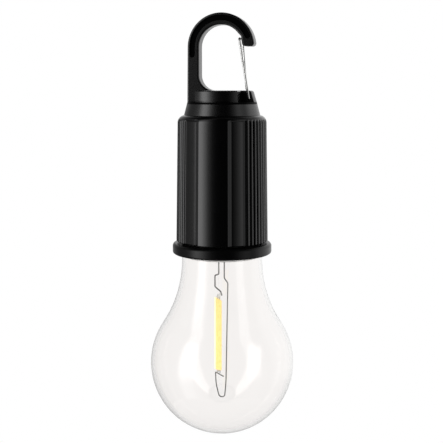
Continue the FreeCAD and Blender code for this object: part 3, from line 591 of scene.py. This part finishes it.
def buildHousing():
    bm = bmesh.new()
    count = housing["segments"]
    depths = [softSink(360 * step / count) for step in range(count)]
    outer = [(skinRadius(z), fadeAt(z), z) for z in housingLevels()]
    sealFloor = housing["top"] - housing["sealDepth"]
    ringFloor = housing["top"] - housing["ringDepth"]
    inner = [(housing["sealOuter"], 0, housing["top"]), (housing["sealOuter"], 0, sealFloor),
             (housing["sealInner"], 0, sealFloor), (housing["sealInner"], 0, housing["top"]),
             (housing["ringRadius"], 0, housing["top"]), (housing["ringRadius"], 0, ringFloor),
             (housing["boreRadius"], 0, ringFloor), (housing["boreRadius"], 0, housing["threadTop"]),
             (housing["mouthRadius"], 0, housing["threadTop"]),
             (housing["mouthRadius"], 0, housing["bottom"] + housing["rimRound"]),
             (housing["mouthRadius"] + housing["rimRound"], 0, housing["bottom"])]
    rim = bmesh.ops.create_circle(bm, segments=count, radius=1.0)["verts"]
    bearings = [math.atan2(vert.co.x, -vert.co.y) for vert in rim]
    order = [round(math.degrees(bearing) / 360 * count) % count for bearing in bearings]
    first = edges = list(dict.fromkeys(edge for vert in rim for edge in vert.link_edges))
    for level, (radius, fade, z) in enumerate(outer + inner):
        if level:
            grown = bmesh.ops.extrude_edge_only(bm, edges=edges)["geom"]
            fresh = {item for item in grown if isinstance(item, bmesh.types.BMVert)}
            edges = [item for item in grown if isinstance(item, bmesh.types.BMEdge)
                     and item.verts[0] in fresh and item.verts[1] in fresh]
            rim = followRing(rim, fresh)
        for vert, bearing, place in zip(rim, bearings, order):
            reach = (radius - fade * depths[place]) * mm
            vert.co = (reach * math.sin(bearing), -reach * math.cos(bearing), z * mm)
    bmesh.ops.bridge_loops(bm, edges=first + edges)
    addThread(bm)
    for angle in housing["earAngles"]:
        addEar(bm, math.radians(angle))
    piece = finishMesh(bm, "ribbedHousing", madeFinishes["black_plastic"], crease=housing["crease"])
    ridePiece(piece, "lantern_body", "black_plastic", "battery_housing")


buildHousing()
print("stage: housing ribbed")

# lamp filament: a flat strip of coated chips, turned from the front
strip = {
    "x": -1.55, "turn": 37.0, "width": 2.5, "depth": 1.8, "top": -91.8, "bottom": -119.0,
    "round": 0.4, "roundSteps": 6, "slant": 0.6, "lowerSlant": 0.3, "sideFacing": 0.8, "crease": 60,
}


def buildStrip():
    bm = bmesh.new()
    length = strip["top"] - strip["bottom"]
    bmesh.ops.create_cube(bm, size=1.0, matrix=Matrix.Diagonal((strip["width"], strip["depth"], length, 1)))
    bmesh.ops.bevel(bm, geom=bm.edges[:], offset=strip["round"], offset_type="OFFSET",
                    segments=strip["roundSteps"], profile=0.5, affect="EDGES", material=-1)
    bm.normal_update()
    for face in bm.faces:
        face.material_index = 1 if abs(face.normal.x) > strip["sideFacing"] else 0
    middle = (strip["top"] + strip["bottom"]) / 2
    for vert in bm.verts:
        vert.co.z += middle - strip["slant" if vert.co.z > 0 else "lowerSlant"] * vert.co.x
    turn = Matrix.Rotation(math.radians(strip["turn"]), 3, "Z")
    bmesh.ops.rotate(bm, verts=bm.verts, cent=(0, 0, 0), matrix=turn)
    bmesh.ops.translate(bm, verts=bm.verts, vec=(strip["x"], 0, 0))
    bmesh.ops.scale(bm, verts=bm.verts, vec=(mm, mm, mm))
    piece = finishMesh(bm, "phosphorCoat", madeFinishes["phosphor"], sideMaterial,
                       crease=strip["crease"])
    ridePiece(piece, "bulb_head", "phosphor", "filament_phosphor")


buildStrip()

# right lead: down past the strip, round under it in a loose loop and back up to the strip's foot
rightLead = {
    "radius": 0.22,
    "roundSteps": 4,
    "bendSteps": 8,
    "bendPull": 0.55,
    "crease": 60,
    "points": [(0.82, -73.4), (0.82, -83.9), (2.17, -85.65), (1.5, -123.5), (0.98, -129.5),
               (-1.08, -129.5), (-2.3, -124.6), (-2.53, -119.95), (0.62, -121.55)],
    "bends": [0.5, 0.5, 1.5, 0.97, 0.87, 1.6, 0.35],
}


def buildWire(name, wire, material):
    data = bpy.data.curves.new(name, "CURVE")
    data.dimensions = "3D"
    data.bevel_depth = wire["radius"] * mm
    data.bevel_resolution = wire["roundSteps"]
    data.resolution_u = wire["bendSteps"]
    data.use_fill_caps = True
    corners = [Vector((x, 0, z)) * mm for x, z in wire["points"]]
    stops = [(corners[0], corners[0], corners[0])]
    for index, bend in enumerate(wire["bends"], 1):
        corner = corners[index]
        back = corner + (corners[index - 1] - corner).normalized() * bend * mm
        ahead = corner + (corners[index + 1] - corner).normalized() * bend * mm
        stops.append((back, back, back.lerp(corner, wire["bendPull"])))
        stops.append((ahead, ahead.lerp(corner, wire["bendPull"]), ahead))
    stops.append((corners[-1], corners[-1], corners[-1]))
    line = data.splines.new("BEZIER")
    line.bezier_points.add(len(stops) - 1)
    for point, (place, left, right) in zip(line.bezier_points, stops):
        point.handle_left_type = "FREE"
        point.handle_right_type = "FREE"
        point.co = place
        point.handle_left = left
        point.handle_right = right
    drawn = bpy.data.objects.new(name + "Line", data)
    bpy.context.scene.collection.objects.link(drawn)
    shaped = drawn.evaluated_get(bpy.context.evaluated_depsgraph_get())
    bm = bmesh.new()
    bm.from_mesh(shaped.to_mesh())
    shaped.to_mesh_clear()
    bmesh.ops.remove_doubles(bm, verts=bm.verts, dist=mergeGap)
    bmesh.ops.holes_fill(bm, edges=[edge for edge in bm.edges if edge.is_boundary])
    bpy.data.objects.remove(drawn)
    bpy.data.curves.remove(data)
    return finishMesh(bm, name, material, crease=wire["crease"])


def buildLead():
    piece = buildWire("loopedLead", rightLead, madeFinishes["lead_wire"])
    ridePiece(piece, "bulb_head", "lead_wire", "right_lead")


buildLead()
print("stage: filament hung")
